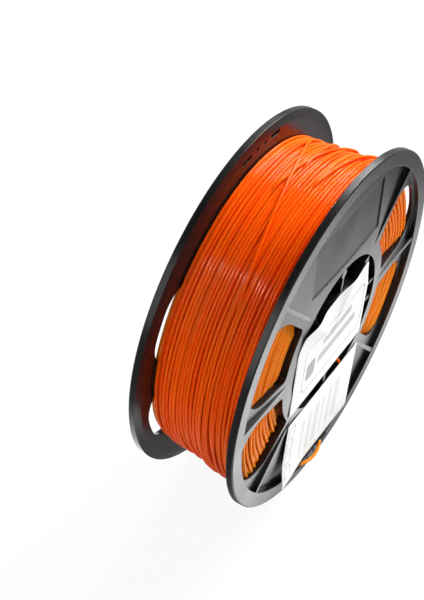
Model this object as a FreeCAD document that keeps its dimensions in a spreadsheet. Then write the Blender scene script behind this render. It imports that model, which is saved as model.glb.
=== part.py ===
import FreeCAD, Part
import math
import os
import re

import Sketcher
from FreeCAD import Placement, Rotation, Vector

# Filament spool: two identical snap-together mouldings, the wound filament and two paper labels.
# The spool's axis is X, +X points out of the labelled flange, +Z is up and the origin is the
# centre of the bore, halfway between the flanges.  All sizes are in millimetres and degrees.

SIZES = [
    # flange and rim
    ("RimRadius", 100.0, "outer radius of both flanges"),
    ("HalfWidth", 30.0, "mid plane to the outer face of the rim lip"),
    ("InnerHalfWidth", 25.2, "mid plane to the face that holds the filament"),
    ("LipInnerRadius", 91.5, "inner radius of the raised rim lip"),
    ("WebThickness", 1.9, "thickness of the conical web beside the lip"),
    ("RimBevel", 0.6, "bevel of the rim's outer edge"),
    ("TaperRadius", 95.5, "radius from which the rim's inside tapers outwards"),
    ("RimTaper", 1.0, "how far the rim's inner edge stands back from the flange's inside"),
    ("TurnAngle", -10.0, "how far the mouldings are turned about the axis as the spool stands"),
    # hub
    ("BoreRadius", 26.0, "radius of the bore that a spool holder fits"),
    ("BoreWall", 2.0, "wall of the bore tube"),
    ("DrumRadius", 46.0, "radius that the filament is wound on"),
    ("DrumWall", 2.6, "wall of the drum"),
    ("SpokeThickness", 1.6, "thickness of the spokes and snap walls"),
    ("SpokeDrop", 0.5, "spoke tops behind the hub face"),
    ("SpokeEndGap", 0.3, "spoke ends short of the mid plane"),
    ("PadRadius", 2.5, "round pad on each spoke"),
    ("PadPlace", 39.5, "radius at which the round pads sit"),
    ("GridStep", 45.0, "angle between neighbouring ribs or spokes"),
    ("Embed", 0.5, "how far ribs and spokes run into the walls that they join"),
    # ribs and windows of the flange
    ("RibThickness", 2.4, "thickness of the radial ribs"),
    ("RibDrop", 0.3, "rib tops behind the lip face"),
    ("WindowOffset", 5.7, "rib centre line to the side of a window"),
    ("WindowInnerRadius", 51.5, "inner arc of a window"),
    ("WindowOuterRadius", 90.0, "outer arc of a window"),
    ("WindowInnerCorner", 3.0, "corner radius at the inner arc"),
    ("WindowOuterCorner", 17.0, "corner radius at the outer arc"),
    ("PlateLength", 70.0, "recessed blank plate, along the rim"),
    ("PlateHeight", 31.5, "recessed blank plate, along the radius"),
    ("PlatePlace", 62.5, "radius of the plate's centre"),
    ("PlateDepth", 0.5, "depth of the plate below the web"),
    # slots and holes for the filament end
    ("SlotPlace", 93.4, "radius of the slots and holes in the lip"),
    ("SlotWidth", 2.5, "width of each slot"),
    ("SlotNearAngle", 5.7, "group centre to the near end of a slot"),
    ("SlotFarAngle", 11.2, "group centre to the far end of a slot"),
    ("EndHoleRadius", 1.2, "radius of the two holes between the slots"),
    ("EndHoleAngle", 2.2, "group centre to each hole"),
    ("StartHoleRadius", 1.4, "hole in the drum for the filament's start"),
    ("StartHolePlace", 10.2, "mid plane to that hole"),
    ("StartHoleAngle", 296.5, "angle of that hole in the moulding"),
    # snap joint of the two halves
    ("SnapWallGap", 5.2, "centre line to the inside of each snap wall"),
    ("SnapFloorPlace", 10.5, "mid plane to the floor that carries a tongue"),
    ("SnapFloorThickness", 2.0, "thickness of that floor"),
    ("TongueInner", 1.9, "centre line to the near side of a tongue"),
    ("TongueThickness", 1.8, "thickness of a tongue"),
    ("TongueWidth", 9.0, "width of a tongue"),
    ("TonguePlace", 31.0, "radius at which a tongue starts"),
    ("TongueReach", 9.0, "how far a tongue passes the mid plane"),
    ("BarbReach", 5.6, "mid plane to the holding face of the barb"),
    ("BarbLand", 1.0, "flat top of the barb"),
    ("BarbHeight", 2.7, "height of the barb above its tongue"),
    ("SnapClearance", 0.1, "play between a barb and its window"),
    ("LapDepth", 1.5, "depth of the lap joint round the drum"),
    ("LapClearance", 0.1, "play in the lap joint"),
    ("LapAngle", 60.0, "angle that the lap's tongue covers"),
    # filament
    ("StrandDiameter", 1.75, "diameter of the filament"),
    ("WindingRadius", 86.0, "outer radius of the wound filament"),
    ("WindingPlay", 0.1, "wound filament to each flange and to the drum"),
    ("LayerPlay", 0.02, "outer layer to the plain core"),
    # paper labels
    ("LabelThickness", 0.2, "thickness of the paper"),
    ("LabelPlay", 0.02, "paper to the plastic under it"),
    ("HubLabelLength", 76.0, "label over the bore"),
    ("HubLabelHeight", 54.0, "label over the bore"),
    ("HubLabelSide", -3.7, "centre of the label over the bore, sideways"),
    ("HubLabelRise", -1.1, "centre of the label over the bore, upwards"),
    ("HubLabelTilt", -7.5, "tilt of the label over the bore"),
    ("WebLabelLength", 75.0, "label on the web"),
    ("WebLabelHeight", 49.5, "label on the web"),
    ("WebLabelPlace", 62.0, "radius of that label's centre"),
    ("WebLabelAngle", 259.7, "angle of that label's centre"),
    ("WebLabelTilt", -8.5, "tilt of that label"),
]

# The outer layer's turns, and the sides of the strand's section.
TURN_COUNT = 6
STRAND_SIDES = 4

# The mouldings' features are drawn with the blank plate upwards, at 90 degrees from +Y.
PLATE_ANGLE = 90
SLOT_GROUP_ANGLE = 270

# Route of the filament's end: angle past the middle of the slot group, radius and X.
# It leaves the last turn, goes out through one slot, over the two holes and in through the other.
END_ROUTE = [
    (-24.5, 87.3, 23.4),
    (-18.5, 90.4, 22.1),
    (-12.1, 93.4, 21.8),
    (-5.2, 93.5, 32.9),
    (5.2, 93.5, 32.9),
    (12.1, 93.4, 21.8),
    (15.4, 92.6, 20.6),
]
END_FIRST_RUN = 8.5
END_START_ANGLE = -35.5

# Route of the filament's start inside the hub: X and radius, in the plane of its drum hole.
START_ROUTE = [
    (10.4, 34.6),
    (15.5, 29.4),
    (22.9, 29.4),
    (27.7, 34.5),
    (28.9, 42.2),
]

NAMES = re.compile(r"\b(" + "|".join(alias for alias, _, _ in SIZES) + r")\b")

doc = FreeCAD.newDocument("FilamentSpool")
sheet = doc.addObject("Spreadsheet::Sheet", "Sizes")
for row, (alias, value, note) in enumerate(SIZES, start=1):
    sheet.set(f"A{row}", alias)
    sheet.set(f"B{row}", str(value))
    sheet.set(f"C{row}", note)
    sheet.setAlias(f"B{row}", alias)
doc.recompute()


def size(formula):
    """The value of a formula written in the sheet's aliases."""
    return float(sheet.evalExpression(formula))


def bind(thing, path, formula):
    """Tie a property or a sketch dimension to a formula written in the sheet's aliases."""
    thing.setExpression(path, NAMES.sub(r"Sizes.\1", formula))


def origin_feature(body, role):
    """One of the body's own planes or axes."""
    return next(item for item in body.Origin.OriginFeatures if item.Role == role)


def new_sketch(body, name, role, lift="0", turn="0"):
    """A sketch on one of the body's planes, lifted along its normal and turned about it."""
    sketch = body.newObject("Sketcher::SketchObject", name)
    sketch.AttachmentSupport = [(origin_feature(body, role), "")]
    sketch.MapMode = "FlatFace"
    sketch.AttachmentOffset = Placement(Vector(), Rotation(Vector(0, 0, 1), 1))
    bind(sketch, ".AttachmentOffset.Base.z", lift)
    bind(sketch, ".AttachmentOffset.Rotation.Angle", turn)
    return sketch


def hold(sketch, constraint, formula):
    """Add a dimension to a sketch and tie it to its formula."""
    index = sketch.addConstraint(constraint)
    bind(sketch, f"Constraints[{index}]", formula)


def place_point(sketch, geometry, end, across, up):
    """Hold a point of a sketch at two formulas.  A formula of 0 puts it on the axis."""
    for kind, axis, formula in (("DistanceX", -2, across), ("DistanceY", -1, up)):
        if formula == "0":
            sketch.addConstraint(Sketcher.Constraint("PointOnObject", geometry, end, axis))
        else:
            dimension = Sketcher.Constraint(kind, -1, 1, geometry, end, size(formula))
            hold(sketch, dimension, formula)


def add_polygon(sketch, corners):
    """A closed outline of straight lines through corners given as pairs of formulas."""
    points = [Vector(size(across), size(up), 0) for across, up in corners]
    lines = [
        sketch.addGeometry(Part.LineSegment(start, finish))
        for start, finish in zip(points, points[1:] + points[:1])
    ]
    for line, following in zip(lines, lines[1:] + lines[:1]):
        sketch.addConstraint(Sketcher.Constraint("Coincident", line, 2, following, 1))
    for line, (across, up) in zip(lines, corners):
        place_point(sketch, line, 1, across, up)


def add_box(sketch, left, right, low, high):
    """A rectangle between four formulas."""
    add_polygon(sketch, [(left, low), (right, low), (right, high), (left, high)])


def add_circle(sketch, across, up, radius):
    """A circle whose centre and radius are formulas."""
    centre = Vector(size(across), size(up), 0)
    circle = sketch.addGeometry(Part.Circle(centre, Vector(0, 0, 1), size(radius)))
    place_point(sketch, circle, 3, across, up)
    hold(sketch, Sketcher.Constraint("Radius", circle, size(radius)), radius)


def add_window(sketch):
    """A window between the rib along the sketch's X axis and the next rib, corners sharp."""
    step = math.radians(size("GridStep"))
    radii = [size("WindowInnerRadius"), size("WindowOuterRadius")]
    lean = [math.asin(size("WindowOffset") / radius) for radius in radii]
    side_a = [
        Vector(radius * math.cos(turn), radius * math.sin(turn), 0)
        for radius, turn in zip(radii, lean)
    ]
    side_b = [
        Vector(radius * math.cos(step - turn), radius * math.sin(step - turn), 0)
        for radius, turn in zip(radii, lean)
    ]
    up = Vector(0, 0, 1)
    line_a = sketch.addGeometry(Part.LineSegment(side_a[0], side_a[1]))
    line_b = sketch.addGeometry(Part.LineSegment(side_b[0], side_b[1]))
    arcs = [
        sketch.addGeometry(
            Part.ArcOfCircle(Part.Circle(Vector(), up, radius), turn, step - turn)
        )
        for radius, turn in zip(radii, lean)
    ]
    for end, arc in enumerate(arcs, start=1):
        sketch.addConstraint(Sketcher.Constraint("Coincident", line_a, end, arc, 1))
        sketch.addConstraint(Sketcher.Constraint("Coincident", line_b, end, arc, 2))
        sketch.addConstraint(Sketcher.Constraint("Coincident", arc, 3, -1, 1))
    for arc, formula in zip(arcs, ("WindowInnerRadius", "WindowOuterRadius")):
        hold(sketch, Sketcher.Constraint("Radius", arc, size(formula)), formula)
    sketch.addConstraint(Sketcher.Constraint("Horizontal", line_a))
    offset = size("WindowOffset")
    hold(sketch, Sketcher.Constraint("DistanceY", -1, 1, line_a, 1, offset), "WindowOffset")
    hold(sketch, Sketcher.Constraint("Distance", -1, 1, line_b, offset), "WindowOffset")
    hold(sketch, Sketcher.Constraint("Angle", line_b, step), "GridStep * 1 deg")


def checked(feature, grows):
    """Recompute a feature and refuse it if it adds or cuts nothing."""
    doc.recompute()
    before = feature.BaseFeature.Shape.Volume if feature.BaseFeature else 0.0
    change = feature.Shape.Volume - before
    if change * (1 if grows else -1) <= 1e-6:
        raise ValueError(f"{feature.Name} changes the volume by {change:.6f}")
    return feature


def revolve(body, name, sketch, angle="360", cut=False):
    """Turn a sketch about the spool's axis, evenly to both sides of its plane."""
    kind = "PartDesign::Groove" if cut else "PartDesign::Revolution"
    feature = body.newObject(kind, name)
    feature.Profile = sketch
    feature.ReferenceAxis = (sketch, ["H_Axis"])
    feature.Midplane = angle != "360"
    bind(feature, "Angle", angle)
    return feature


def pad(body, name, sketch, length, reverse=False):
    """Raise a sketch by a length."""
    feature = body.newObject("PartDesign::Pad", name)
    feature.Profile = sketch
    feature.Reversed = reverse
    bind(feature, "Length", length)
    return feature


def pocket(body, name, sketch, length, reverse=False):
    """Cut a sketch to a length."""
    feature = body.newObject("PartDesign::Pocket", name)
    feature.Profile = sketch
    feature.Reversed = reverse
    bind(feature, "Length", length)
    return feature


def repeat(body, name, features, count, angle):
    """Repeat features round the spool's axis."""
    pattern = body.newObject("PartDesign::PolarPattern", name)
    pattern.Originals = features
    pattern.Axis = (origin_feature(body, "X_Axis"), [""])
    pattern.Occurrences = count
    bind(pattern, "Angle", angle)
    body.Tip = pattern
    return pattern


def is_axial(edge, radius):
    """Whether an edge runs along the spool's axis at a distance from it."""
    ends = [vertex.Point for vertex in edge.Vertexes]
    if len(ends) != 2 or abs(ends[0].x - ends[1].x) < 0.5:
        return False
    return all(abs(math.hypot(end.y, end.z) - radius) < 1e-3 for end in ends) and (
        abs(ends[0].y - ends[1].y) + abs(ends[0].z - ends[1].z) < 1e-3
    )


def is_ring(edge, radius, place):
    """Whether an edge is a ring round the spool's axis, of a radius and at an X."""
    ends = [vertex.Point for vertex in edge.Vertexes]
    return isinstance(edge.Curve, Part.Circle) and all(
        abs(math.hypot(end.y, end.z) - radius) < 1e-3 and abs(end.x - place) < 1e-3
        for end in ends
    ) and abs(edge.Curve.Radius - radius) < 1e-3


def dress(body, kind, name, formula, test):
    """Fillet or chamfer the edges of the body's tip that pass a test."""
    base = body.Tip
    names = [
        f"Edge{number}" for number, edge in enumerate(base.Shape.Edges, start=1) if test(edge)
    ]
    if not names:
        raise ValueError(f"{name} finds no edge")
    feature = body.newObject("PartDesign::" + kind, name)
    feature.Base = (base, names)
    bind(feature, "Radius" if kind == "Fillet" else "Size", formula)
    doc.recompute()
    return feature


def spool_half(name):
    """One moulding of the spool: half of the hub with one flange, its outside towards +X."""
    body = doc.addObject("PartDesign::Body", name + "_moulding")
    body.AllowCompound = True

    # bore tube
    sketch = new_sketch(body, name + "_bore_profile", "XZ_Plane")
    add_box(sketch, "0", "HalfWidth", "BoreRadius", "BoreRadius + BoreWall")
    checked(revolve(body, name + "_bore_tube", sketch), True)

    # six spokes, each with a round pad
    inner = "BoreRadius + BoreWall - Embed"
    outer = "DrumRadius - DrumWall + Embed"
    top = "HalfWidth - SpokeDrop"
    for side, start in (("upper", "GridStep"), ("lower", "GridStep + 180")):
        sketch = new_sketch(
            body, f"{name}_{side}_spoke_outline", "YZ_Plane", "SpokeEndGap", start
        )
        add_box(sketch, inner, outer, "-SpokeThickness / 2", "SpokeThickness / 2")
        spoke = checked(
            pad(body, f"{name}_{side}_spoke", sketch, f"{top} - SpokeEndGap"), True
        )
        sketch = new_sketch(
            body, f"{name}_{side}_pad_outline", "YZ_Plane", "SpokeEndGap", start
        )
        add_circle(sketch, "PadPlace", "0", "PadRadius")
        spoke_pad = checked(
            pad(body, f"{name}_{side}_spoke_pad", sketch, f"{top} - SpokeEndGap"), True
        )
        checked(
            repeat(body, f"{name}_{side}_spokes", [spoke, spoke_pad], 3, "2 * GridStep"),
            True,
        )

    # drum wall, conical web and rim lip in one turned profile
    sketch = new_sketch(body, name + "_flange_profile", "XZ_Plane")
    add_polygon(sketch, [
        ("0", "DrumRadius - DrumWall"),
        ("HalfWidth", "DrumRadius - DrumWall"),
        ("InnerHalfWidth + WebThickness", "LipInnerRadius"),
        ("HalfWidth", "LipInnerRadius"),
        ("HalfWidth", "RimRadius"),
        ("InnerHalfWidth + RimTaper", "RimRadius"),
        ("InnerHalfWidth", "TaperRadius"),
        ("InnerHalfWidth", "DrumRadius"),
        ("0", "DrumRadius"),
    ])
    checked(revolve(body, name + "_flange", sketch), True)

    # six radial ribs
    for side, start in (("right", "-GridStep"), ("left", "180 - GridStep")):
        sketch = new_sketch(
            body, f"{name}_{side}_rib_outline", "YZ_Plane", "InnerHalfWidth + Embed", start
        )
        add_box(
            sketch, "DrumRadius - DrumWall + Embed", "LipInnerRadius + Embed",
            "-RibThickness / 2", "RibThickness / 2",
        )
        height = "HalfWidth - RibDrop - InnerHalfWidth - Embed"
        rib = checked(pad(body, f"{name}_{side}_rib", sketch, height), True)
        checked(repeat(body, f"{name}_{side}_ribs", [rib], 3, "2 * GridStep"), True)

    # snap joint in the two places where the hub has no spoke: walls, floor and tongue
    walls = []
    for side, low, high in (
        ("near", "SnapWallGap", "SnapWallGap + SpokeThickness"),
        ("far", "-SnapWallGap - SpokeThickness", "-SnapWallGap"),
    ):
        sketch = new_sketch(body, f"{name}_{side}_snap_wall_outline", "YZ_Plane", "SpokeEndGap")
        add_box(sketch, inner, outer, low, high)
        walls.append(checked(
            pad(body, f"{name}_{side}_snap_wall", sketch, f"{top} - SpokeEndGap"), True
        ))
    sketch = new_sketch(body, name + "_snap_floor_outline", "YZ_Plane", "SnapFloorPlace")
    add_box(sketch, inner, outer, "-SnapWallGap - Embed", "SnapWallGap + Embed")
    floor = checked(pad(body, name + "_snap_floor", sketch, "SnapFloorThickness"), True)
    sketch = new_sketch(body, name + "_tongue_profile", "XZ_Plane", "-TonguePlace")
    outside = "TongueInner + TongueThickness"
    add_polygon(sketch, [
        ("SnapFloorPlace + Embed", "TongueInner"),
        ("SnapFloorPlace + Embed", outside),
        ("-BarbReach", outside),
        ("-BarbReach", f"{outside} + BarbHeight"),
        ("-BarbReach - BarbLand", f"{outside} + BarbHeight"),
        ("-TongueReach", outside),
        ("-TongueReach", "TongueInner"),
    ])
    tongue = checked(pad(body, name + "_tongue", sketch, "TongueWidth", True), True)
    checked(
        repeat(body, name + "_snap_tongues", walls + [floor, tongue], 2, "360"),
        True,
    )
    sketch = new_sketch(body, name + "_catch_outline", "XY_Plane", "-SnapWallGap + Embed")
    add_box(
        sketch, "BarbReach - SnapClearance", "TongueReach + SnapClearance",
        "TonguePlace - SnapClearance", "TonguePlace + TongueWidth + SnapClearance",
    )
    catch = checked(
        pocket(body, name + "_catch", sketch, "SpokeThickness + 2 * Embed"), False
    )
    checked(repeat(body, name + "_catches", [catch], 2, "360"), False)

    # lap joint round the drum: a tongue on the plate's side and a groove on the other
    middle = "DrumRadius - DrumWall / 2"
    sketch = new_sketch(body, name + "_lap_tongue_profile", "XZ_Plane")
    add_box(
        sketch, "-LapDepth", "Embed",
        "DrumRadius - DrumWall + LapClearance", f"{middle} - LapClearance / 2",
    )
    checked(revolve(body, name + "_lap_tongue", sketch, "LapAngle"), True)
    sketch = new_sketch(body, name + "_lap_groove_profile", "XZ_Plane")
    add_box(
        sketch, "-LapClearance", "LapDepth + LapClearance",
        f"-({middle}) - LapClearance / 2", "-DrumRadius + DrumWall + LapClearance",
    )
    checked(
        revolve(body, name + "_lap_groove", sketch, "LapAngle + 1", cut=True), False
    )

    # four windows, the second pair a mirror image of the first
    cuts = "HalfWidth - InnerHalfWidth + 2 * Embed"
    for side, start in (("first", "0"), ("second", "180 - GridStep")):
        sketch = new_sketch(
            body, f"{name}_{side}_window_outline", "YZ_Plane", "InnerHalfWidth - Embed", start
        )
        add_window(sketch)
        window = checked(
            pocket(body, f"{name}_{side}_window", sketch, cuts, True), False
        )
        checked(repeat(body, f"{name}_{side}_windows", [window], 2, "360"), False)

    # slots and holes for the filament's end, opposite the plate
    slot_reach = "SlotPlace * sin((SlotFarAngle - SlotNearAngle) / 2 * 1 deg)"
    for side, sign in (("near", "-"), ("far", "+")):
        turn = f"{SLOT_GROUP_ANGLE} {sign} (SlotNearAngle + SlotFarAngle) / 2"
        sketch = new_sketch(
            body, f"{name}_{side}_slot_outline", "YZ_Plane", "InnerHalfWidth - Embed", turn
        )
        add_box(
            sketch, "SlotPlace - SlotWidth / 2", "SlotPlace + SlotWidth / 2",
            f"-{slot_reach}", slot_reach,
        )
        checked(pocket(body, f"{name}_{side}_slot", sketch, cuts, True), False)
        turn = f"{SLOT_GROUP_ANGLE} {sign} EndHoleAngle"
        sketch = new_sketch(
            body, f"{name}_{side}_end_hole_outline", "YZ_Plane", "InnerHalfWidth - Embed", turn
        )
        add_circle(sketch, "SlotPlace", "0", "EndHoleRadius")
        checked(pocket(body, f"{name}_{side}_end_hole", sketch, cuts, True), False)

    # hole in the drum for the filament's start
    sketch = new_sketch(body, name + "_start_hole_outline", "XY_Plane")
    sketch.AttachmentOffset = Placement(Vector(0, 1, 1), Rotation(Vector(1, 0, 0), 1))
    lift = "(DrumRadius - DrumWall - 3 * Embed)"
    bind(sketch, ".AttachmentOffset.Base.y", f"{lift} * cos(StartHoleAngle * 1 deg)")
    bind(sketch, ".AttachmentOffset.Base.z", f"{lift} * sin(StartHoleAngle * 1 deg)")
    bind(sketch, ".AttachmentOffset.Rotation.Angle", f"StartHoleAngle - {PLATE_ANGLE}")
    add_circle(sketch, "StartHolePlace", "0", "StartHoleRadius")
    checked(
        pocket(body, name + "_start_hole", sketch, "DrumWall + 6 * Embed", True), False
    )

    # rounded corners and bevelled rim edges
    slot_radii = [
        math.hypot(size(f"SlotPlace {sign} SlotWidth / 2"), size(slot_reach)) for sign in "+-"
    ]
    dress(
        body, "Fillet", name + "_slot_ends", "SlotWidth * 0.45",
        lambda edge: any(is_axial(edge, radius) for radius in slot_radii),
    )
    for arc in ("WindowOuter", "WindowInner"):
        radius = size(arc + "Radius")
        dress(
            body, "Fillet", f"{name}_{arc}_corners", arc + "Corner",
            lambda edge: is_axial(edge, radius),
        )
    dress(
        body, "Chamfer", name + "_rim_bevel", "RimBevel",
        lambda edge: is_ring(edge, size("RimRadius"), size("HalfWidth")),
    )
    return body


def plate_tool(name):
    """What is cut for the blank plate: a block, less the cone that the plate's floor follows."""
    block = doc.addObject("Part::Box", name + "_plate_block")
    for prop, formula in (
        ("Length", "HalfWidth"),
        ("Width", "PlateLength"),
        ("Height", "PlateHeight"),
        (".Placement.Base.y", "-PlateLength / 2"),
        (".Placement.Base.z", "PlatePlace - PlateHeight / 2"),
    ):
        bind(block, prop, formula)
    cone = doc.addObject("Part::Cone", name + "_plate_floor")
    cone.Placement = Placement(Vector(), Rotation(Vector(0, 1, 0), 90))
    hub_radius = "(DrumRadius - DrumWall)"
    slope = f"((HalfWidth - InnerHalfWidth - WebThickness) / (LipInnerRadius - {hub_radius}))"
    tip = f"(HalfWidth + {hub_radius} * {slope} - PlateDepth)"
    for prop, formula in (
        ("Radius1", f"{tip} / {slope}"),
        ("Radius2", "0"),
        ("Height", tip),
    ):
        bind(cone, prop, formula)
    tool = doc.addObject("Part::Cut", name + "_plate_tool")
    tool.Base = block
    tool.Tool = cone
    return tool


def finished_half(name, turn):
    """One moulding with its blank plate, placed on the spool."""
    half = doc.addObject("Part::Cut", name)
    half.Label = name
    half.Base = spool_half(name)
    half.Tool = plate_tool(name)
    half.Placement = Placement(Vector(), turn)
    return half


def ring(name, inner, outer, half_length):
    """A ring round the spool's axis, even about the mid plane."""
    body = doc.addObject("PartDesign::Body", name)
    body.Label = name
    sketch = new_sketch(body, name + "_profile", "XZ_Plane")
    add_box(sketch, f"-({half_length})", half_length, inner, outer)
    checked(revolve(body, name + "_ring", sketch), True)
    return body


def arc_mid(start, corner, finish):
    """The middle of the arc from start to finish whose end tangents meet in a corner."""
    chord = finish - start
    half = chord.Length / 2
    lean = math.acos(min(1.0, chord.dot(corner - start) / (chord.Length * (corner - start).Length)))
    middle = (start + finish) * 0.5
    rise = (corner - middle).normalize()
    return middle + rise * (half * math.tan(lean / 2))


def biarc(start, start_way, finish, finish_way):
    """Two arcs that leave a point and reach another along given ways."""
    span = finish - start
    ways = start_way + finish_way
    share = 2 * (1 - start_way.dot(finish_way))
    along = span.dot(ways)
    reach = (math.sqrt(along * along + share * span.dot(span)) - along) / share
    first = start + start_way * reach
    second = finish - finish_way * reach
    joint = (first + second) * 0.5
    return [
        Part.Arc(start, arc_mid(start, first, joint), joint).toShape(),
        Part.Arc(joint, arc_mid(joint, second, finish), finish).toShape(),
    ]


def around(angle, radius, x):
    """A point at an angle from +Y towards +Z, a radius and an X."""
    turn = math.radians(angle)
    return Vector(x, radius * math.cos(turn), radius * math.sin(turn))


def strand(path, start, way, outward):
    """The filament's solid along a path.  One corner of its section points outward."""
    radius = size("StrandDiameter / 2")
    across = way.cross(outward).normalize()
    upright = across.cross(way).normalize()
    corners = [
        start
        + upright * (radius * math.cos(2 * math.pi * number / STRAND_SIDES))
        + across * (radius * math.sin(2 * math.pi * number / STRAND_SIDES))
        for number in range(STRAND_SIDES)
    ]
    section = Part.makePolygon(corners + corners[:1])
    shell = Part.BRepOffsetAPI.MakePipeShell(path)
    shell.add(section)
    shell.build()
    shell.makeSolid()
    solid = shell.shape()
    expected = Part.Face(section).Area * path.Length
    if abs(solid.Volume / expected - 1) > 0.01:
        raise ValueError(f"strand volume {solid.Volume:.1f}, expected {expected:.1f}")
    return solid


def turn_radius():
    """Radius of the outer layer's centre line."""
    return size("WindingRadius - StrandDiameter / 2")


def turn_ways(angle, climb):
    """The way along the turns and the way outward at an angle."""
    turn = math.radians(angle)
    along = Vector(climb, -math.sin(turn), math.cos(turn)).normalize()
    return along, Vector(0, math.cos(turn), math.sin(turn))


def winding_turns():
    """The outer layer: one strand from flange to flange, with its end and its climb."""
    radius = turn_radius()
    reach = size("InnerHalfWidth - WindingPlay - StrandDiameter / 2")
    finish_angle = SLOT_GROUP_ANGLE + size("TurnAngle") + END_START_ANGLE
    pitch = 2 * reach / TURN_COUNT
    climb = pitch / (2 * math.pi * radius)
    edges = []
    for half_turn in range(2 * TURN_COUNT):
        angle = finish_angle - 360 * TURN_COUNT + 180 * half_turn
        x = -reach + pitch * half_turn / 2
        edges += biarc(
            around(angle, radius, x), turn_ways(angle, climb)[0],
            around(angle + 180, radius, x + pitch / 2), turn_ways(angle + 180, climb)[0],
        )
    path = Part.Wire(edges)
    along, outward = turn_ways(finish_angle, climb)
    solid = strand(path, around(finish_angle, radius, -reach), along, outward)
    print_gap(edges, pitch)
    return solid, around(finish_angle, radius, reach), along


def print_gap(edges, pitch):
    """Print the least gap of the outer layer to itself, measured on points of its line."""
    points = [point for edge in edges for point in edge.discretize(10)[:-1]]
    per_turn = len(points) / TURN_COUNT
    least = min(
        first.distanceToPoint(second)
        for number, first in enumerate(points)
        for second in points[number + int(per_turn / 2):number + int(per_turn * 1.5)]
    )
    gap = least - size("StrandDiameter")
    print(f"outer layer: {TURN_COUNT} turns, pitch {pitch:.2f}, least gap {gap:.2f}")
    if gap <= 0.4:
        raise ValueError("the outer layer's turns are too close")


def rounded_path(points, name):
    """Straight runs through points, joined by arcs as large as the runs allow."""
    edges = []
    start = points[0]
    radii = []
    for before, corner, after in zip(points, points[1:], points[2:]):
        run_in = corner - before
        run_out = after - corner
        way_in = Vector(run_in).normalize()
        way_out = Vector(run_out).normalize()
        reach = 0.45 * min(run_in.Length, run_out.Length)
        arc_start = corner - way_in * reach
        arc_end = corner + way_out * reach
        half_turn = way_in.getAngle(way_out) / 2
        radii.append(reach / math.tan(half_turn))
        edges.append(Part.LineSegment(start, arc_start).toShape())
        middle = arc_mid(arc_start, corner, arc_end)
        edges.append(Part.Arc(arc_start, middle, arc_end).toShape())
        start = arc_end
    edges.append(Part.LineSegment(start, points[-1]).toShape())
    path = Part.Wire(edges)
    shown = ", ".join(f"{radius:.1f}" for radius in radii)
    print(f"{name}: length {path.Length:.1f}, arc radii {shown}")
    return path


def add_solid(name, shape):
    """A sub-part whose solid is set from its own geometry."""
    thing = doc.addObject("Part::Feature", name)
    thing.Label = name
    thing.Shape = shape
    thing.Placement = Placement()
    return thing


def filament_end(start, along):
    """The filament's end, from the last turn out through the slots of the right flange."""
    middle = SLOT_GROUP_ANGLE + size("TurnAngle")
    points = [start, start + along * END_FIRST_RUN]
    points += [around(middle + angle, radius, x) for angle, radius, x in END_ROUTE]
    outward = Vector(0, start.y, start.z).normalize()
    return strand(rounded_path(points, "filament_free_end"), start, along, outward)


def filament_start():
    """The filament's start, from the winding through the drum's hole into the hub."""
    angle = size("StartHoleAngle + TurnAngle")
    reach = size("DrumRadius + WindingPlay")
    points = [around(angle, reach, size("StartHolePlace"))]
    points += [around(angle, radius, x) for x, radius in START_ROUTE]
    way = (points[1] - points[0]).normalize()
    path = rounded_path(points, "filament_start_end")
    return strand(path, points[0], way, Vector(1, 0, 0))


def paper_label(name, length, height, tilt, across, up):
    """A flat paper label on the right half's outer face, centred at two formulas."""
    label = doc.addObject("Part::Box", name)
    label.Label = name
    label.Placement = Placement(Vector(1, 1, 1), Rotation(Vector(1, 0, 0), 1))
    side, rise, turn = f"{length} / 2", f"{height} / 2", f"{tilt} * 1 deg"
    for prop, formula in (
        ("Length", "LabelThickness"),
        ("Width", length),
        ("Height", height),
        (".Placement.Rotation.Angle", tilt),
        (".Placement.Base.x", "HalfWidth + LabelPlay"),
        (".Placement.Base.y", f"{across} - {side} * cos({turn}) + {rise} * sin({turn})"),
        (".Placement.Base.z", f"{up} - {side} * sin({turn}) - {rise} * cos({turn})"),
    ):
        bind(label, prop, formula)
    return label


turn_right = Rotation(Vector(1, 0, 0), size("TurnAngle"))
flip = Rotation(Vector(0, 1, 0), 180)
turns, last_point, last_way = winding_turns()
parts = [
    finished_half("right_half", turn_right),
    finished_half("left_half", turn_right.multiply(flip)),
    ring(
        "winding_core", "DrumRadius + WindingPlay",
        "WindingRadius - StrandDiameter - LayerPlay", "InnerHalfWidth - WindingPlay",
    ),
    add_solid("winding_outer_layer", turns),
    add_solid("filament_free_end", filament_end(last_point, last_way)),
    add_solid("filament_start_end", filament_start()),
    paper_label(
        "hub_label", "HubLabelLength", "HubLabelHeight", "HubLabelTilt",
        "HubLabelSide", "HubLabelRise",
    ),
    paper_label(
        "web_label", "WebLabelLength", "WebLabelHeight", "WebLabelTilt",
        "WebLabelPlace * cos(WebLabelAngle * 1 deg)",
        "WebLabelPlace * sin(WebLabelAngle * 1 deg)",
    ),
]
doc.recompute()

for thing in doc.Objects:
    if "Invalid" in thing.State or "Error" in thing.State:
        raise ValueError(f"{thing.Name} failed")
os.makedirs("parts", exist_ok=True)
for part in parts:
    shape = part.Shape
    if shape.isNull() or not shape.isValid():
        raise ValueError(f"{part.Label} has no valid solid")
    shape.exportStep(f"parts/{part.Label}.step")
    print(f"{part.Label}: {len(shape.Solids)} solid, {shape.Volume / 1000:.2f} cm3")
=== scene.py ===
import math

import bpy
from mathutils import Matrix, Vector, noise


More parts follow.
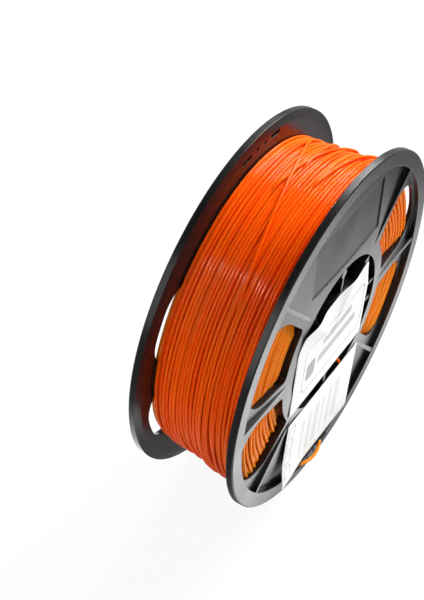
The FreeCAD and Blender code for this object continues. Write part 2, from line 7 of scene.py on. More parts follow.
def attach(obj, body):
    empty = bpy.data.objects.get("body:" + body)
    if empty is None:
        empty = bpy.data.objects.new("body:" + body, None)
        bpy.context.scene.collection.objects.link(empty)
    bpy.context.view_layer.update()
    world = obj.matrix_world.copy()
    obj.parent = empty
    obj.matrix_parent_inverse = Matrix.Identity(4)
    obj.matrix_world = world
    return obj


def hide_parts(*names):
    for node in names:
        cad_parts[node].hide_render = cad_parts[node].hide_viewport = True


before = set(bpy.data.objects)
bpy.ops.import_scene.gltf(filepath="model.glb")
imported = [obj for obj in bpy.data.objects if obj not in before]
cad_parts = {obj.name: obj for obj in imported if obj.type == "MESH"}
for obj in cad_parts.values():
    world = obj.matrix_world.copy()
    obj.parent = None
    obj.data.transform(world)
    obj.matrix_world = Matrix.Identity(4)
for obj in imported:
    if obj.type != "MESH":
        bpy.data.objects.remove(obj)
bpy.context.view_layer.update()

# A filament spool: two black mouldings carried over from the CAD frame, the orange strand wound
# on them, and two paper labels.  The axis is X, +X points out of the labelled flange, +Z is up.
MM = 0.001

# Sizes of the spool and its filament, in millimetres and degrees, as the CAD part has them.
STRAND_RADIUS = 0.875
WOUND_RADIUS = 86.0
DRUM_RADIUS = 46.0
FLANGE_INSIDE = 25.2
FACE = 30.0
HUB_OPENING = 43.4
FLOOR_LEVEL = -100.0
PLATE_LENGTH = 70.0
PLATE_HEIGHT = 31.5
PLATE_PLACE = 62.5
TURN_RADIUS = WOUND_RADIUS - STRAND_RADIUS
TURN_REACH = FLANGE_INSIDE - 0.1 - STRAND_RADIUS


def smooth(low, high, value):
    """0 below low, 1 above high and an even curve between them."""
    share = min(1.0, max(0.0, (value - low) / (high - low)))
    return share * share * (3 - 2 * share)


def bump_at(angle, centre, width):
    """1 at an angle and falling to 0 at a width from it, round the full circle."""
    off = (angle - centre + 180) % 360 - 180
    return math.exp(-((off / width) ** 2))


def around(angle, radius, x):
    """A point at an angle from +Y towards +Z, a radius and an X, in metres."""
    turn = math.radians(angle)
    return Vector((x, radius * math.cos(turn), radius * math.sin(turn))) * MM


# ---------------------------------------------------------------- materials

# Base colours, each as a (darker, lighter) pair that a mottle mixes.
PLASTIC_SHADES = (0.0065, 0.0065, 0.0075), (0.0115, 0.011, 0.011)
PLATE_SHADE = (0.007, 0.007, 0.007, 1)
ORANGE_SHADES = (0.92, 0.066, 0.001), (0.98, 0.130, 0.003)
# Painted light: a paler copy of the orange that paints side light on the edge turns and the free
# end.
PAINTED_LIT_ORANGE_SHADES = (0.97, 0.20, 0.003), (1.0, 0.31, 0.008)
PAPER_SHADES = (0.82, 0.825, 0.81), (0.885, 0.89, 0.88)
# The blank plates of the labelled flange and of the other one: their angle, and the side of the
# middle that they are on.
PLATES = ((80, "GREATER_THAN"), (260, "LESS_THAN"))
EDGE_ROUNDING = 0.5


def new_material(name):
    """An empty node material with its output and a Principled shader."""
    material = bpy.data.materials.new(name)
    material.use_nodes = True
    nodes = material.node_tree.nodes
    return material, nodes, material.node_tree.links, nodes["Principled BSDF"]


def math_node(tree, operation, first, second=None, clamp=False):
    """A math node fed by numbers or sockets, and its output."""
    node = tree.nodes.new("ShaderNodeMath")
    node.operation = operation
    node.use_clamp = clamp
    for index, value in enumerate((first, second)):
        if value is None:
            continue
        if isinstance(value, (int, float)):
            node.inputs[index].default_value = value
        else:
            tree.links.new(value, node.inputs[index])
    return node.outputs[0]


def mottle_group():
    """Blotches, stretched by a share of X, Y and Z, and fine grain, as one value from 0 to 1."""
    group = bpy.data.node_groups.new("soft_mottle", "ShaderNodeTree")
    socket = group.interface.new_socket
    socket("Size", in_out="INPUT", socket_type="NodeSocketFloat")
    socket("Grain", in_out="INPUT", socket_type="NodeSocketFloat")
    socket("Stretch", in_out="INPUT", socket_type="NodeSocketVector")
    socket("Amount", in_out="OUTPUT", socket_type="NodeSocketFloat")
    entry = group.nodes.new("NodeGroupInput")
    leave = group.nodes.new("NodeGroupOutput")
    place = group.nodes.new("ShaderNodeTexCoord")
    blotch = group.nodes.new("ShaderNodeTexNoise")
    blotch.inputs["Detail"].default_value = 3
    fine = group.nodes.new("ShaderNodeTexNoise")
    fine.inputs["Detail"].default_value = 2
    fine.inputs["Scale"].default_value = 2600
    drawn = group.nodes.new("ShaderNodeVectorMath")
    drawn.operation = "MULTIPLY"
    group.links.new(place.outputs["Object"], drawn.inputs[0])
    group.links.new(entry.outputs["Stretch"], drawn.inputs[1])
    group.links.new(drawn.outputs["Vector"], blotch.inputs["Vector"])
    group.links.new(place.outputs["Object"], fine.inputs["Vector"])
    group.links.new(entry.outputs["Size"], blotch.inputs["Scale"])
    mix = group.nodes.new("ShaderNodeMix")
    group.links.new(entry.outputs["Grain"], mix.inputs["Factor"])
    group.links.new(blotch.outputs["Fac"], mix.inputs["A"])
    group.links.new(fine.outputs["Fac"], mix.inputs["B"])
    group.links.new(mix.outputs["Result"], leave.inputs["Amount"])
    return group


def place_group(tree, group, **values):
    """A node group in a material, with its inputs set."""
    node = tree.nodes.new("ShaderNodeGroup")
    node.node_tree = group
    if "Stretch" in node.inputs:
        node.inputs["Stretch"].default_value = (1, 1, 1)
    for name, value in values.items():
        node.inputs[name].default_value = value
    return node


def ramp_node(tree, source, places, colours):
    """A colour ramp over a value, between two places on it and their two colours."""
    node = tree.nodes.new("ShaderNodeValToRGB")
    for element, place, colour in zip(node.color_ramp.elements, places, colours):
        element.position = place
        element.color = (*colour, 1)
    tree.links.new(source, node.inputs["Fac"])
    return node.outputs["Color"]


def mixed_colour(tree, share, under, over):
    """A colour socket with a plain colour laid over it by a share from 0 to 1."""
    mix = tree.nodes.new("ShaderNodeMix")
    mix.data_type = "RGBA"
    tree.links.new(share, mix.inputs["Factor"])
    tree.links.new(under, mix.inputs["A"])
    mix.inputs["B"].default_value = over
    return mix.outputs["Result"]


def map_range(tree, source, before, after):
    """A value mapped from one range to another, held at its ends."""
    node = tree.nodes.new("ShaderNodeMapRange")
    node.inputs["From Min"].default_value, node.inputs["From Max"].default_value = before
    node.inputs["To Min"].default_value, node.inputs["To Max"].default_value = after
    tree.links.new(source, node.inputs["Value"])
    return node.outputs["Result"]


def bump_node(tree, height, distance, strength):
    """A bump from a height value, and its normal."""
    node = tree.nodes.new("ShaderNodeBump")
    node.inputs["Distance"].default_value = distance
    node.inputs["Strength"].default_value = strength
    tree.links.new(height, node.inputs["Height"])
    return node


mottle = mottle_group()


def inside_box(tree, place, half_width, half_height):
    """1 where a vector's Y and Z lie inside a rectangle round its origin, in metres."""
    parts = tree.nodes.new("ShaderNodeSeparateXYZ")
    tree.links.new(place, parts.inputs["Vector"])
    masks = []
    for axis, half in (("Y", half_width), ("Z", half_height)):
        distance = math_node(tree, "ABSOLUTE", parts.outputs[axis])
        masks.append(math_node(tree, "LESS_THAN", distance, half * MM))
    return math_node(tree, "MULTIPLY", *masks), parts.outputs["X"]


def turned_place(tree, centre, tilt):
    """Object coordinates measured from a centre in Y and Z (mm), turned back by a tilt."""
    place = tree.nodes.new("ShaderNodeTexCoord")
    turn = tree.nodes.new("ShaderNodeVectorRotate")
    turn.rotation_type = "X_AXIS"
    turn.inputs["Center"].default_value = Vector((0, *centre)) * MM
    turn.inputs["Angle"].default_value = math.radians(-tilt)
    tree.links.new(place.outputs["Object"], turn.inputs["Vector"])
    shift = tree.nodes.new("ShaderNodeVectorMath")
    shift.operation = "SUBTRACT"
    shift.inputs[1].default_value = Vector((0, *centre)) * MM
    tree.links.new(turn.outputs["Vector"], shift.inputs[0])
    return shift.outputs["Vector"]


def moulded_plastic():
    """Black satin polystyrene: fine eroded grain, handling marks and coarser blank plates."""
    material, nodes, links, shader = new_material("moulded_black_plastic")
    tree = material.node_tree
    marks = place_group(tree, mottle, Size=38.0, Grain=0.25)
    plates = []
    for angle, outwards in PLATES:
        centre = around(angle, PLATE_PLACE, 0) / MM
        place = turned_place(tree, (centre.y, centre.z), angle - 90)
        mask, height = inside_box(tree, place, PLATE_LENGTH / 2, PLATE_HEIGHT / 2)
        plates.append(math_node(tree, "MULTIPLY", mask, math_node(tree, outwards, height, 0.0)))
    plate = math_node(tree, "MAXIMUM", *plates)
    mottled = ramp_node(tree, marks.outputs["Amount"], (0.3, 0.7), PLASTIC_SHADES)
    links.new(mixed_colour(tree, plate, mottled, PLATE_SHADE), shader.inputs["Base Color"])
    rough = map_range(tree, marks.outputs["Amount"], (0.3, 0.7), (0.22, 0.34))
    coarse = math_node(tree, "MULTIPLY", plate, 0.10)
    links.new(math_node(tree, "ADD", rough, coarse), shader.inputs["Roughness"])
    grain = place_group(tree, mottle, Size=700.0, Grain=0.5)
    surface = bump_node(tree, grain.outputs["Amount"], 0.00004, 0.35)
    edge = nodes.new("ShaderNodeBevel")
    edge.samples = 4
    edge.inputs["Radius"].default_value = EDGE_ROUNDING * MM
    links.new(edge.outputs["Normal"], surface.inputs["Normal"])
    links.new(surface.outputs["Normal"], shader.inputs["Normal"])
    shader.inputs["IOR"].default_value = 1.53
    shader.inputs["Specular IOR Level"].default_value = 0.3
    return material


def wound_filament(name, shades, coat):
    """Glossy orange filament: shades that run along the strands, ripples and a clear skin."""
    material, nodes, links, shader = new_material(name)
    tree = material.node_tree
    shade = place_group(tree, mottle, Size=9.0, Grain=0.1, Stretch=(40, 1, 1))
    colour = ramp_node(tree, shade.outputs["Amount"], (0.3, 0.7), shades)
    links.new(colour, shader.inputs["Base Color"])
    rough = map_range(tree, shade.outputs["Amount"], (0.0, 1.0), (0.32, 0.44))
    links.new(rough, shader.inputs["Roughness"])
    ripple = place_group(tree, mottle, Size=800.0, Grain=0.3)
    surface = bump_node(tree, ripple.outputs["Amount"], 0.00001, 0.4)
    links.new(surface.outputs["Normal"], shader.inputs["Normal"])
    plain = nodes.new("ShaderNodeNewGeometry")
    links.new(plain.outputs["Normal"], shader.inputs["Coat Normal"])
    shader.inputs["Subsurface Weight"].default_value = 0.5
    shader.inputs["Subsurface Radius"].default_value = (1.0, 0.35, 0.08)
    shader.inputs["Subsurface Scale"].default_value = 0.0015
    shader.inputs["IOR"].default_value = 1.45
    shader.inputs["Specular IOR Level"].default_value = 0.02
    shader.inputs["Coat Weight"].default_value = coat
    shader.inputs["Coat Roughness"].default_value = 0.07
    return material


plastic = moulded_plastic()
orange = wound_filament("orange_filament", ORANGE_SHADES, 0.18)
# Painted light: where side light comes through the windows, and on the end outside, the strand
# looks paler, and this paler copy of the orange paints that light into its colour.
painted_lit_orange = wound_filament("orange_filament_painted_light", PAINTED_LIT_ORANGE_SHADES, 0.08)

for name in ("right_half", "left_half"):
    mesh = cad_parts[name].data
    mesh.materials.clear()
    mesh.materials.append(plastic)


# ---------------------------------------------------------------- filament


def strand_curve(name, runs, kind="POLY", material=orange):
    """Round strands along runs of points, as one curve object."""
    curve = bpy.data.curves.new(name, "CURVE")
    curve.dimensions = "3D"
    curve.bevel_depth = STRAND_RADIUS * MM
    curve.bevel_resolution = 3
    curve.use_fill_caps = True
    curve.resolution_u = 12 if kind == "NURBS" else 1
    for run in runs:
        spline = curve.splines.new(kind)
        spline.points.add(len(run) - 1)
        for point, place in zip(spline.points, run):
            point.co = (*place, 1)
        if kind == "NURBS":
            spline.order_u = 3
            spline.use_endpoint_u = True
        spline.use_smooth = True
    thing = bpy.data.objects.new(name, curve)
    bpy.context.scene.collection.objects.link(thing)
    curve.materials.append(material)
    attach(thing, "root")
    return thing


# The outer layer, wound from the left flange to the right one, and the layer below it.
STEPS_PER_TURN = 96
OUTER_TURNS = 24.6
OUTER_END_ANGLE = 224.5
FIRST_TURN_GAP = 1.0
SETTLING_PASSES = 12
SMOOTHING_PASSES = 10
UNDER_TURNS = 25.0
UNDER_START_ANGLE = 30
LAYER_STEP = 1.1
# Strands that cross on top come up from this depth under the outer layer's middle.
CROSSING_STEPS = 60
CROSSING_ROOT = 2.2
# Angle and half width, in degrees, of the places where the turns stand off the drum.
BOTTOM_SLACK = (243, 38)
TOP_SLACK = (52, 27)
FAR_SLACK = (350, 38)


def near(place, angle, shift=0.0):
    """1 at the middle of a slack place, moved by a shift, and falling to 0 beside it."""
    return bump_at(angle, place[0] + shift, place[1])


def slack_at(angle, x, seed):
    """How far loosened turns stand out at a place, in mm: each by its own share, and all alike."""
    right = smooth(-22, 8, x)
    shift = 9 * noise.noise(seed + Vector((9, 1, 4)))
    bottom = (2.8 + 10.5 * right) * near(BOTTOM_SLACK, angle, shift)
    top = 2.8 * smooth(-10, 12, x) * near(TOP_SLACK, angle, shift)
    far = 2.6 * near(FAR_SLACK, angle)
    return bottom, top + far


def outer_place(turn):
    """Angle, radius and X of the outer layer's strand after some turns, before it settles."""
    angle = OUTER_END_ANGLE - 360 * (OUTER_TURNS - turn)
    pitch = (2 * TURN_REACH - FIRST_TURN_GAP) / OUTER_TURNS
    x = -TURN_REACH + pitch * turn + FIRST_TURN_GAP * smooth(0.8, 1.3, turn)
    way = math.radians(angle)
    seed = Vector((turn * 1.37, math.cos(way) * 1.1, math.sin(way) * 1.1))
    settled = smooth(0.0, 1.0, turn) * smooth(0.0, 1.0, OUTER_TURNS - turn)
    loose, full = slack_at(angle, x, seed)
    x += 1.1 * noise.noise(seed) * settled
    rise = 1.3 * noise.noise(seed + Vector((40, 7, 3))) - 0.1
    own = 0.66 + 0.85 * noise.noise(Vector((turn * 1.7, 5.1, 0.4)))
    radius = TURN_RADIUS + (rise + max(0.0, own) * loose + full) * settled
    x += 0.13 * loose * noise.noise(seed * 1.3 + Vector((3, 20, 6))) * settled
    return angle, radius, min(TURN_REACH, max(-TURN_REACH, x))


def settle(places):
    """Strands that cross one half-plane, as (radius, X) pairs, pushed apart where they overlap."""
    for _ in range(SETTLING_PASSES):
        for first, second in zip(places, places[1:]):
            rise = second[0] - first[0]
            along = max(0.3, second[1] - first[1])
            overlap = 2 * STRAND_RADIUS - math.hypot(rise, along)
            if overlap > 0:
                share = 0.25 * overlap / math.hypot(rise, along)
                first[0] -= share * rise * 2
                second[0] += share * rise * 2
                first[1] = max(-TURN_REACH, first[1] - share * along)
                second[1] = min(TURN_REACH, second[1] + share * along)


def outer_layer():
    """The strand of the outer layer, flange to flange."""
    count = int(OUTER_TURNS * STEPS_PER_TURN)
    run = [list(outer_place(step / STEPS_PER_TURN)) for step in range(count + 1)]
    for start in range(STEPS_PER_TURN):
        places = [point[1:] for point in run[start::STEPS_PER_TURN]]
        settle(places)
        for point, place in zip(run[start::STEPS_PER_TURN], places):
            point[1:] = place
    for _ in range(SMOOTHING_PASSES):
        run = [run[0]] + [
            [b[0], (a[1] + 2 * b[1] + c[1]) / 4, (a[2] + 2 * b[2] + c[2]) / 4]
            for a, b, c in zip(run, run[1:], run[2:])
        ] + [run[-1]]
    return [around(*point) for point in run]


def under_layer():
    """The layer below, which shows in the gaps of the outer one and runs the other way."""
    run = []
    count = int(UNDER_TURNS * STEPS_PER_TURN)
    for step in range(count + 1):
        turn = UNDER_TURNS * step / count
        angle = UNDER_START_ANGLE + 360 * turn
        x = TURN_REACH * (1 - 2 * turn / UNDER_TURNS)
        seed = Vector((turn * 0.9, math.cos(math.radians(angle)), 7.0))
        loose, full = slack_at(angle, x, seed)
        radius = TURN_RADIUS - LAYER_STEP + 0.25 * noise.noise(seed) + 0.5 * loose + 0.9 * full
        run.append(around(angle, radius, x))
    return run


def crossing(start, finish, rise, bend=1.2):
    """A strand that lies slantwise over the outer layer, between two (angle, X) places."""
    run = []
    for step in range(CROSSING_STEPS + 1):
        share = step / CROSSING_STEPS
        lift = smooth(0.0, 0.16, share) * smooth(0.0, 0.14, 1 - share)
        angle = start[0] + (finish[0] - start[0]) * share
        x = start[1] + (finish[1] - start[1]) * (1 - (1 - share) ** bend)
        full = slack_at(angle, x, Vector())[1]
        depth = CROSSING_ROOT - (CROSSING_ROOT + rise + full) * lift
        run.append(around(angle, TURN_RADIUS - depth, x))
    return run


# The edge turns beside a flange: their spacing outwards, the windows where every second column
# lies back like a comb, and the windows, all four, that the turns bulge into.
COLUMN_PITCH = 3.03
COMB_ANGLES = (12.5, 192.5)
WINDOW_ANGLES = (12.5, 147.5, 192.5, 327.5)
WINDOW_HALF_ANGLE = 22.5
WINDOW_INNER = 51.5
RIB_HALF = 5.7
WINDOW_BULGE = 2.0


def in_window(angle, radius):
    """1 well inside a window of the flange and falling to 0 at its edges."""
    share = 0.0
    for centre in WINDOW_ANGLES:
        off = abs((angle - centre + 180) % 360 - 180)
        clear = radius * math.sin(math.radians(WINDOW_HALF_ANGLE - off)) - RIB_HALF
        share = max(share, smooth(0.9, 3.4, clear) * smooth(0.9, 3.2, radius - WINDOW_INNER))
    return share


def side_column(side, first_radius, recess, dive):
    """The turns of one column beside a flange: every second layer's edge turn, as a spiral."""
    run = []
    turns = int((WOUND_RADIUS - STRAND_RADIUS - 0.3 - first_radius) / COLUMN_PITCH)
    count = turns * STEPS_PER_TURN
    for step in range(count + 1):
        turn = step / STEPS_PER_TURN
        angle = 360 * turn
        comb = max(bump_at(angle, centre, 30) for centre in COMB_ANGLES)
        way = math.radians(angle)
        seed = Vector((turn * 1.13 + first_radius, math.cos(way), math.sin(way) * side))
        outward = (first_radius + COLUMN_PITCH * turn - DRUM_RADIUS) / (WOUND_RADIUS - DRUM_RADIUS)
        radius = first_radius + COLUMN_PITCH * turn + 0.30 * noise.noise(seed)
        radius += sum(slack_at(angle, side * TURN_REACH, seed)) * outward ** 3 * 0.8
        depth = recess * (0.15 + 0.85 * comb) + dive * bump_at(angle, 214, 9)
        depth += 0.35 * abs(noise.noise(seed * 1.7 + Vector((8, 2, 5))))
        own = noise.noise(seed * 1.4 + Vector((2, 30, 5)))
        depth -= (WINDOW_BULGE + 0.8 * own) * in_window(angle, radius)
        run.append(around(angle, radius, side * (TURN_REACH - depth)))
    return run


def wound_core():
    """The mass of filament under the strands that show, a ring a little inside them."""
    inner, outer_radius, side = DRUM_RADIUS + 0.3, WOUND_RADIUS - 3.6, TURN_REACH - 1.3
    rings = [(inner, side), (outer_radius, side), (outer_radius, -side), (inner, -side)]
    sides = 128
    vertices = []
    faces = []
    for radius, x in rings:
        vertices += [around(360 * step / sides, radius, x) for step in range(sides)]
    for ring in range(4):
        for step in range(sides):
            following = (step + 1) % sides
            faces.append((
                ring * sides + step,
                (ring + 1) % 4 * sides + step,
                (ring + 1) % 4 * sides + following,
                ring * sides + following,
            ))
    mesh = bpy.data.meshes.new("wound_core")
    mesh.from_pydata(vertices, [], faces)
    mesh.materials.append(orange)
    thing = bpy.data.objects.new("wound_core", mesh)
    bpy.context.scene.collection.objects.link(thing)
    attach(thing, "root")
    return thing


core = wound_core()
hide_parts("winding_core")
outer = strand_curve("wound_outer_layer", [
    outer_layer(),
    under_layer(),
    crossing((44, -21.0), (136, 6.3), 1.9, 1.5),
    crossing((30, 4.0), (96, -9.5), 1.5),
    crossing((34, 17.0), (88, 6.5), 1.5),
    crossing((28, -12.0), (80, -3.5), 1.4),
])
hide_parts("winding_outer_layer")
# The edge turns beside the flanges take the paler orange with painted side light.
strand_curve("wound_layer_edges", [
    side_column(side, radius, recess, dive)
    for side in (1, -1)
    for radius, recess, dive in ((48.2, 0.0, 1.6), (49.7, 1.25, 0.6))
], material=painted_lit_orange)

# The strand's two ends follow the CAD routes, as (angle past the slots' middle, radius, X) and as
# (X, radius).  Outside the flange the free one is pulled in by half a millimetre.
SLOT_MIDDLE = 260.0
END_START = 224.5
END_FIRST_RUN = 8.5
END_ROUTE = [
    (-24.5, 87.3, 23.4),
    (-18.5, 90.4, 22.1),
    (-12.1, 93.4, 21.8),
    (-5.2, 92.9, 32.4),
    (5.2, 92.9, 32.4),
    (12.1, 93.4, 21.8),
    (15.4, 92.6, 20.6),
]
START_ANGLE = 286.5
START_ROUTE = [
    (10.2, 46.1),
    (10.4, 34.6),
    (15.5, 29.4),
    (22.9, 29.4),
    (27.7, 34.5),
    (28.9, 42.2),
]


def free_end():
    """The strand's end: off the last turn, out through one slot and in through the other."""
    turn = math.radians(END_START)
    along = Vector((0, -math.sin(turn), math.cos(turn))) * END_FIRST_RUN * MM
    start = around(END_START, TURN_RADIUS, TURN_REACH)
    route = [start, start + along]
    route += [around(SLOT_MIDDLE + angle, radius, x) for angle, radius, x in END_ROUTE]
    return route


# The free end takes the paler orange with painted light.
free = strand_curve("filament_free_end_round", [free_end()], "NURBS", painted_lit_orange)
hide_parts("filament_free_end")
first = strand_curve(
    "filament_start_end_round",
    [[around(START_ANGLE, radius, x) for x, radius in START_ROUTE]],
    "NURBS",
)
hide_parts("filament_start_end")


# ---------------------------------------------------------------- paper labels

# Inks, and in millimetres the printed line, the paper and its gap from the flange's face.
INK = (0.30, 0.30, 0.31, 1)
GREY_INK = (0.45, 0.45, 0.46, 1)
PALE_INK = (0.70, 0.70, 0.71, 1)
PRINTED_LINE = 0.28
PAPER_THICKNESS = 0.2
PAPER_GAP = 0.13
LABEL_COLUMNS = 72
LABEL_ROWS = 54


def box_print_group():
    """A printed rounded box in a flat place: its outline, and its filled inside."""
    group = bpy.data.node_groups.new("printed_box", "ShaderNodeTree")
    for name, kind in (
        ("Place", "NodeSocketVector"), ("Middle", "NodeSocketVector"),
        ("Half Size", "NodeSocketVector"), ("Corner", "NodeSocketFloat"),
        ("Line", "NodeSocketFloat"),
    ):
        group.interface.new_socket(name, in_out="INPUT", socket_type=kind)
    for name in ("Outline", "Filled"):
        group.interface.new_socket(name, in_out="OUTPUT", socket_type="NodeSocketFloat")
    entry = group.nodes.new("NodeGroupInput")
    leave = group.nodes.new("NodeGroupOutput")

    def vector_node(operation, *values):
        node = group.nodes.new("ShaderNodeVectorMath")
        node.operation = operation
        for index, value in enumerate(values):
            if isinstance(value, tuple):
                node.inputs[index].default_value = value
            else:
                group.links.new(value, node.inputs[index])
        return node.outputs["Value" if operation == "LENGTH" else "Vector"]

    offset = vector_node("SUBTRACT", entry.outputs["Place"], entry.outputs["Middle"])
    away = vector_node("ABSOLUTE", offset)
    corner = group.nodes.new("ShaderNodeCombineXYZ")
    for axis in ("Y", "Z"):
        group.links.new(entry.outputs["Corner"], corner.inputs[axis])
    inner = vector_node("SUBTRACT", entry.outputs["Half Size"], corner.outputs["Vector"])
    beyond = vector_node("MAXIMUM", vector_node("SUBTRACT", away, inner), (0.0, 0.0, 0.0))
    flat = vector_node("MULTIPLY", beyond, (0.0, 1.0, 1.0))
    reach = math_node(
        group, "SUBTRACT", vector_node("LENGTH", flat), entry.outputs["Corner"]
    )
    group.links.new(math_node(group, "LESS_THAN", reach, 0.0), leave.inputs["Filled"])
    line = math_node(group, "LESS_THAN", math_node(group, "ABSOLUTE", reach), entry.outputs["Line"])
    group.links.new(line, leave.inputs["Outline"])
    return group


box_print = box_print_group()


def label_paper(name, centre, tilt, prints):
    """White coated paper with plain printed boxes: (kind, ink, middle, half size, corner)."""
    material, _, links, shader = new_material(name)
    tree = material.node_tree
    place = turned_place(tree, centre, tilt)
    fibre = place_group(tree, mottle, Size=160.0, Grain=0.4)
    colour = ramp_node(tree, fibre.outputs["Amount"], (0.25, 0.75), PAPER_SHADES)
    for kind, ink, middle, half, corner in prints:
        box = place_group(
            tree, box_print, Middle=Vector((0, *middle)) * MM,
            **{"Half Size": Vector((0, *half)) * MM}, Corner=corner * MM, Line=PRINTED_LINE * MM,
        )
        links.new(place, box.inputs["Place"])
        colour = mixed_colour(tree, box.outputs[kind], colour, ink)
    links.new(colour, shader.inputs["Base Color"])
    surface = bump_node(tree, fibre.outputs["Amount"], 0.00005, 0.25)
    links.new(surface.outputs["Normal"], shader.inputs["Normal"])
    shader.inputs["Roughness"].default_value = 0.42
    shader.inputs["Specular IOR Level"].default_value = 0.2
    return material


def label_place(centre, tilt, across, up):
    """Y and Z of a point of a label, in mm, from its centre and tilt."""
    turn = math.radians(tilt)
    y = centre[0] + across * math.cos(turn) - up * math.sin(turn)
    z = centre[1] + across * math.sin(turn) + up * math.cos(turn)
    return y, z


def paper_label(name, length, height, lift, trim, material):
    """A thin sheet on a flange's face: trim gives a point's Y and Z, lift how far it stands off."""
    vertices = []
    for row in range(LABEL_ROWS + 1):
        for column in range(LABEL_COLUMNS + 1):
            across = length * (column / LABEL_COLUMNS - 0.5)
            up = height * (row / LABEL_ROWS - 0.5)
            y, z = trim(across, up)
            vertices.append(Vector((FACE + PAPER_GAP + lift(across, up), y, z)) * MM)
    faces = []
    for row in range(LABEL_ROWS):
        for column in range(LABEL_COLUMNS):
            corner = row * (LABEL_COLUMNS + 1) + column
            above = corner + LABEL_COLUMNS + 1
            faces.append((corner, corner + 1, above + 1, above))
    mesh = bpy.data.meshes.new(name)
    mesh.from_pydata(vertices, [], faces)
    mesh.shade_smooth()
    mesh.materials.append(material)
    thing = bpy.data.objects.new(name, mesh)
    bpy.context.scene.collection.objects.link(thing)
    solid = thing.modifiers.new("paper", "SOLIDIFY")
    solid.thickness = PAPER_THICKNESS * MM
    solid.offset = 0
    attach(thing, "root")
    return thing


HUB_CENTRE = (-3.6, -0.4)
HUB_TILT = -7.5
WEB_CENTRE = tuple(around(259.7, 62, 0).yz / MM)
WEB_TILT = -8.5


def tucked(across, up):
    """The hub label's upper left corner follows the hub's opening, the right one is cut back."""
    y, z = label_place(HUB_CENTRE, HUB_TILT, across, up)
    limit = HUB_OPENING + 1.6
    if y < 0 < z and math.hypot(y, z) > limit:
        share = limit / math.hypot(y, z)
        return y * share, z * share
    narrow = max(0.0, 0.26 * (up - 9)) * smooth(-5, 38, across)
    return label_place(HUB_CENTRE, HUB_TILT, across - narrow, up)


def hub_lift(across, up):
    """The paper waves between the bore tube, where it lies, and the hub's opening."""
    angle = math.degrees(math.atan2(up, across))
    wave = 2.1 * bump_at(angle, 128, 12) + 1.6 * bump_at(angle, 56, 14)
    return wave * math.hypot(across, up) / 38


def web_lift(across, up):
    """One lower corner of the paper on the web curls up."""
    return 2.0 * smooth(8, 38, -across) * smooth(4, 25, -up)


hub_prints = [
    ("Outline", INK, (3.5, -3.4), (31.5, 15.8), 5),
    ("Filled", INK, (-20.5, -6), (4.5, 6), 2.5),
    ("Filled", GREY_INK, (6, 4.6), (15, 2.6), 0.6),
    ("Filled", GREY_INK, (7, -5.4), (20, 2.6), 0.6),
]
web_prints = [
    ("Outline", INK, (-32, 16 - 10.5 * row), (3, 3.6), 0.6) for row in range(4)
] + [
    ("Filled", PALE_INK, (-18 + 7.5 * bar, -2), (1.2 + 0.8 * (bar % 3), 15), 0.2)
    for bar in range(6)
]
hub_label = paper_label(
    "hub_label_paper", 76, 55.4, hub_lift, tucked,
    label_paper("hub_label_print", HUB_CENTRE, HUB_TILT, hub_prints),
)
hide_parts("hub_label")
web_label = paper_label(
    "web_label_paper", 75, 49.5, web_lift,
    lambda across, up: label_place(WEB_CENTRE, WEB_TILT, across, up),
    label_paper("web_label_print", WEB_CENTRE, WEB_TILT, web_prints),
)
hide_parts("web_label")


# ---------------------------------------------------------------- camera, floor and lights

# The camera, fitted to the photograph: metres from the bore's centre, and pixels.
CAMERA_DISTANCE = 0.85026
CAMERA_AZIMUTH = math.radians(31.786)
CAMERA_ELEVATION = math.radians(51.312)
PHOTO_SIZE = (424, 600)
PHOTO_FOCUS = 1644.34
BORE_PIXEL = (283.43, 307.60)


def add_camera():
    """The camera at the photograph's place: its axis passes beside the spool's centre."""
    back = Vector((
        math.sin(CAMERA_AZIMUTH) * math.cos(CAMERA_ELEVATION),
        -math.cos(CAMERA_AZIMUTH) * math.cos(CAMERA_ELEVATION),
        math.sin(CAMERA_ELEVATION),
    ))
    right = Vector((0, 0, 1)).cross(back).normalized()
    up = back.cross(right)
    scale = CAMERA_DISTANCE / PHOTO_FOCUS
    across = (BORE_PIXEL[0] - PHOTO_SIZE[0] / 2) * scale
    above = -(BORE_PIXEL[1] - PHOTO_SIZE[1] / 2) * scale
    data = bpy.data.cameras.new("camera")
    data.sensor_width = 36
    data.lens = PHOTO_FOCUS * data.sensor_width / max(PHOTO_SIZE)
    camera = bpy.data.objects.new("camera", data)
    axes = Matrix((right, up, back)).transposed()
    camera.matrix_world = Matrix.Translation(
        back * CAMERA_DISTANCE - right * across - up * above
    ) @ axes.to_4x4()
    bpy.context.scene.collection.objects.link(camera)
    bpy.context.scene.camera = camera


# The floor: its half width in metres, what the camera sees of it, and what the gloss shows of it,
# from beside the spool to further off, and from the spool's own shade outwards. What the gloss
# shows is painted light, a pool brighter than white beside the spool, and a painted shadow between
# the flanges.
FLOOR_REACH = 6.0
FLOOR_SEEN = 1.08
FLOOR_SHARE = 0.85
GLOSS_DISTANCES = (0.13, 0.25)
PAINTED_GLOSS_GLOW = (3.4, 0.30)
SHADE_DISTANCES = (0.028, 0.050)
SHADE_SHARES = (0.10, 1.0)


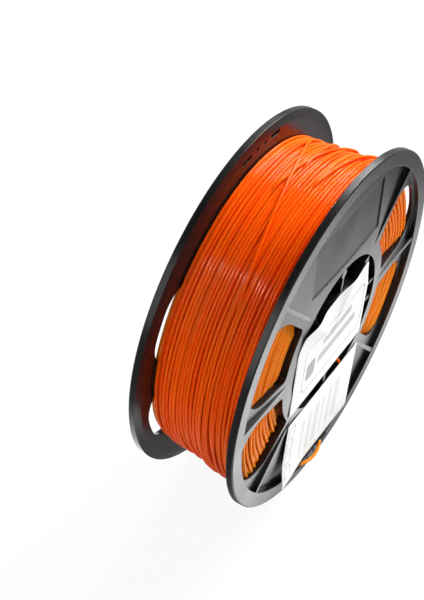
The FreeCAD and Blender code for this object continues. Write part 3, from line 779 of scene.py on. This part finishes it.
def add_floor():
    """A plain pale floor that reads as white; its reflections show a painted pool of light that
    fades away from the spool, and a painted shadow under the spool.
    """
    mesh = bpy.data.meshes.new("floor")
    corners = [(-1, -1), (1, -1), (1, 1), (-1, 1)]
    level = FLOOR_LEVEL * MM
    mesh.from_pydata(
        [(x * FLOOR_REACH, y * FLOOR_REACH, level) for x, y in corners], [], [(0, 1, 2, 3)]
    )
    floor = bpy.data.objects.new("floor", mesh)
    bpy.context.scene.collection.objects.link(floor)
    material, nodes, links, shader = new_material("pale_floor")
    tree = material.node_tree
    shader.inputs["Base Color"].default_value = (0.52, 0.52, 0.52, 1)
    shader.inputs["Roughness"].default_value = 0.8
    place = nodes.new("ShaderNodeTexCoord")
    length = nodes.new("ShaderNodeVectorMath")
    length.operation = "LENGTH"
    links.new(place.outputs["Object"], length.inputs[0])
    parts = nodes.new("ShaderNodeSeparateXYZ")
    links.new(place.outputs["Object"], parts.inputs["Vector"])
    # Painted light: the gloss sees a glow brighter than white beside the spool, fading further off.
    far = map_range(tree, length.outputs["Value"], GLOSS_DISTANCES, PAINTED_GLOSS_GLOW)
    beside = math_node(tree, "ABSOLUTE", parts.outputs["X"])
    # Painted shadow: the glow is dimmed to a tenth between the flanges, where the spool shades the
    # floor.
    painted_shade = map_range(tree, beside, SHADE_DISTANCES, SHADE_SHARES)
    path = nodes.new("ShaderNodeLightPath")
    strength = nodes.new("ShaderNodeMix")
    links.new(path.outputs["Is Glossy Ray"], strength.inputs["Factor"])
    strength.inputs["A"].default_value = FLOOR_SEEN
    links.new(math_node(tree, "MULTIPLY", far, painted_shade), strength.inputs["B"])
    light = nodes.new("ShaderNodeEmission")
    links.new(strength.outputs["Result"], light.inputs["Strength"])
    seen = math_node(
        tree, "ADD", path.outputs["Is Camera Ray"], path.outputs["Is Glossy Ray"], clamp=True
    )
    mix = nodes.new("ShaderNodeMixShader")
    links.new(math_node(tree, "MULTIPLY", seen, FLOOR_SHARE), mix.inputs["Fac"])
    links.new(shader.outputs["BSDF"], mix.inputs[1])
    links.new(light.outputs["Emission"], mix.inputs[2])
    links.new(mix.outputs["Shader"], nodes["Material Output"].inputs["Surface"])
    mesh.materials.append(material)


def add_lamp(name, place, width, height, watts):
    """A soft lamp at a place in metres, turned towards the spool, its width along X."""
    data = bpy.data.lights.new(name, "AREA")
    data.shape = "RECTANGLE"
    data.size = width
    data.size_y = height
    data.energy = watts
    lamp = bpy.data.objects.new(name, data)
    back = Vector(place).normalized()
    side = (Vector((1, 0, 0)) - back * back.x).normalized()
    turned = Matrix((side, back.cross(side), back)).transposed().to_4x4()
    lamp.matrix_world = Matrix.Translation(place) @ turned
    bpy.context.scene.collection.objects.link(lamp)
    return lamp


def add_world():
    """A studio that is dark overhead and pale near the horizon."""
    world = bpy.data.worlds.new("studio")
    world.use_nodes = True
    tree = world.node_tree
    place = tree.nodes.new("ShaderNodeTexCoord")
    parts = tree.nodes.new("ShaderNodeSeparateXYZ")
    tree.links.new(place.outputs["Generated"], parts.inputs["Vector"])
    shade = ramp_node(tree, parts.outputs["Z"], (0.0, 0.55), ((0.30,) * 3, (0.05,) * 3))
    tree.links.new(shade, tree.nodes["Background"].inputs["Color"])
    bpy.context.scene.world = world


# The soft lamps: name, place in metres, width, height and watts.
LAMPS = [
    ("back_lamp", (0.15, 1.15, 0.70), 1.0, 0.9, 50),
    ("side_lamp", (1.25, -0.45, 0.40), 0.8, 0.8, 3.3),
    ("front_lamp", (-0.10, -1.15, 0.78), 1.0, 1.0, 9.0),
]
# The narrow ones that the glossy strands show as a row of bright dots.
SPARK_ANGLES = (118.5, 122.5)
SPARK_RADIUS = 900
SPARK_X = -380

add_camera()
add_floor()
add_world()
for lamp_values in LAMPS:
    add_lamp(*lamp_values)
strands = bpy.data.collections.new("strands_that_sparkle")
strands.objects.link(outer)
for angle in SPARK_ANGLES:
    lamp = add_lamp("spark_lamp", around(angle, SPARK_RADIUS, SPARK_X), 0.2, 0.006, 5.0)
    lamp.visible_diffuse = False
    lamp.light_linking.receiver_collection = strands

bpy.context.scene.view_settings.view_transform = "Standard"
